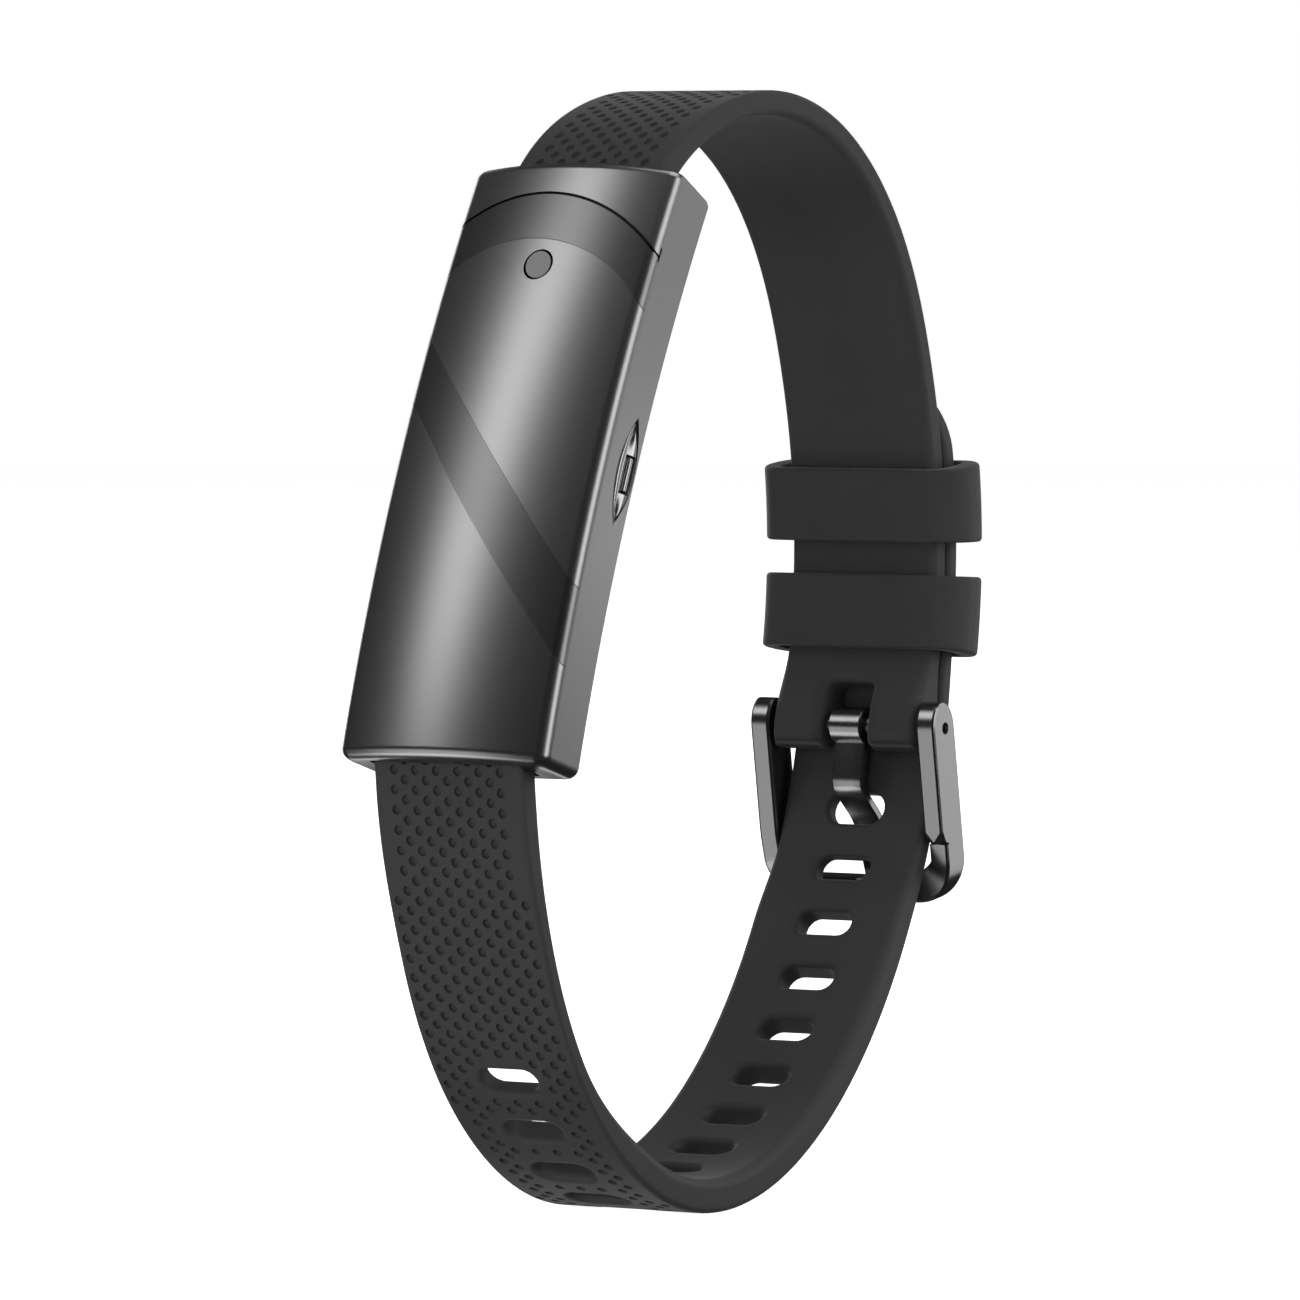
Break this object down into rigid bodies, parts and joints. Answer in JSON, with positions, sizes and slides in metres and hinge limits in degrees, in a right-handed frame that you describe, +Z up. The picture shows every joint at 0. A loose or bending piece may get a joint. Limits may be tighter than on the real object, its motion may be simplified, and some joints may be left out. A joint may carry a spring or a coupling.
{
  "type": "fitness tracker band",
  "caption": "Slim curved fitness tracker module on a closed two-part silicone strap with a pin buckle and two keepers.",
  "frame": {"origin": "middle of the wrist loop, halfway across the strap width", "axes": "+X along the wrist toward the button side, -Y out through the module's front, +Y toward the buckle, +Z up"},
  "size_m": [0.019, 0.0672, 0.0874],
  "materials": {
    "gunmetal": "satin dark gunmetal",
    "hardware": "dark polished gunmetal",
    "silicone": "matte black silicone",
    "case_plastic": "matte black",
    "seal": "matte black",
    "lens": "dark smoked gloss",
    "light": "clear lamp",
    "board": "circuit board",
    "chip": "moulded black",
    "battery": "foil pouch",
    "contact": "gold plated",
    "steel": "bright steel"
  },
  "bodies": {
    "band": {"housing": "gunmetal", "back_cover": "case_plastic", "back_gasket": "seal", "status_window": "lens", "status_light": "light", "main_board": "board", "processor": "chip", "motion_sensor": "chip", "battery": "battery", "vibration_motor": "steel", "tact_switch": "chip", "sensor_board": "board", "sensor_window": "lens", "charge_contact_left": "contact", "charge_contact_right": "contact", "back_screw_lower_left": "steel", "back_screw_upper_left": "steel", "back_screw_lower_right": "steel", "back_screw_upper_right": "steel", "button_seal": "seal", "upper_strap": "silicone", "lower_strap": "silicone", "upper_strap_pin": "steel", "lower_strap_pin": "steel", "spring_bar_tube": "steel", "spring_bar_spring": "steel"},
    "side_button": {"button_cap": "hardware", "switch_plunger": "seal"},
    "buckle_frame_body": {"buckle_frame": "hardware"},
    "tongue_body": {"buckle_tongue": "hardware"},
    "upper_keeper_body": {"keeper_upper": "silicone"},
    "lower_keeper_body": {"keeper_lower": "silicone"},
    "left_tip_body": {"spring_bar_tip_left": "steel"},
    "right_tip_body": {"spring_bar_tip_right": "steel"}
  },
  "joints": [
    {"name": "side_button_press", "type": "slide", "parent": "band", "child": "side_button", "axis": [-1, 0, 0], "range_m": [0, 0.00035], "stiffness_N_per_m": 3000},
    {"name": "buckle_swing", "type": "hinge", "parent": "band", "child": "buckle_frame_body", "pos_m": [0, 0.0271, -0.008], "axis": [1, 0, 0], "range_deg": [0, 1.5]},
    {"name": "tongue_swing", "type": "hinge", "parent": "buckle_frame_body", "child": "tongue_body", "pos_m": [0, 0.0271, -0.008], "axis": [1, 0, 0], "range_deg": [0, 1.5]},
    {"name": "keeper_upper_slide", "type": "hinge", "parent": "band", "child": "upper_keeper_body", "pos_m": [0, -0.02155, 0.0065], "axis": [1, 0, 0], "range_deg": [-1.4, 5.5]},
    {"name": "keeper_lower_slide", "type": "hinge", "parent": "band", "child": "lower_keeper_body", "pos_m": [0, -0.02155, 0.0065], "axis": [1, 0, 0], "range_deg": [0, 1.5]},
    {"name": "spring_bar_tip_left_press", "type": "slide", "parent": "band", "child": "left_tip_body", "axis": [1, 0, 0], "range_m": [0, 0.0015], "stiffness_N_per_m": 1500},
    {"name": "spring_bar_tip_right_press", "type": "slide", "parent": "band", "child": "right_tip_body", "axis": [-1, 0, 0], "range_m": [0, 0.0015], "stiffness_N_per_m": 1500}
  ]
}
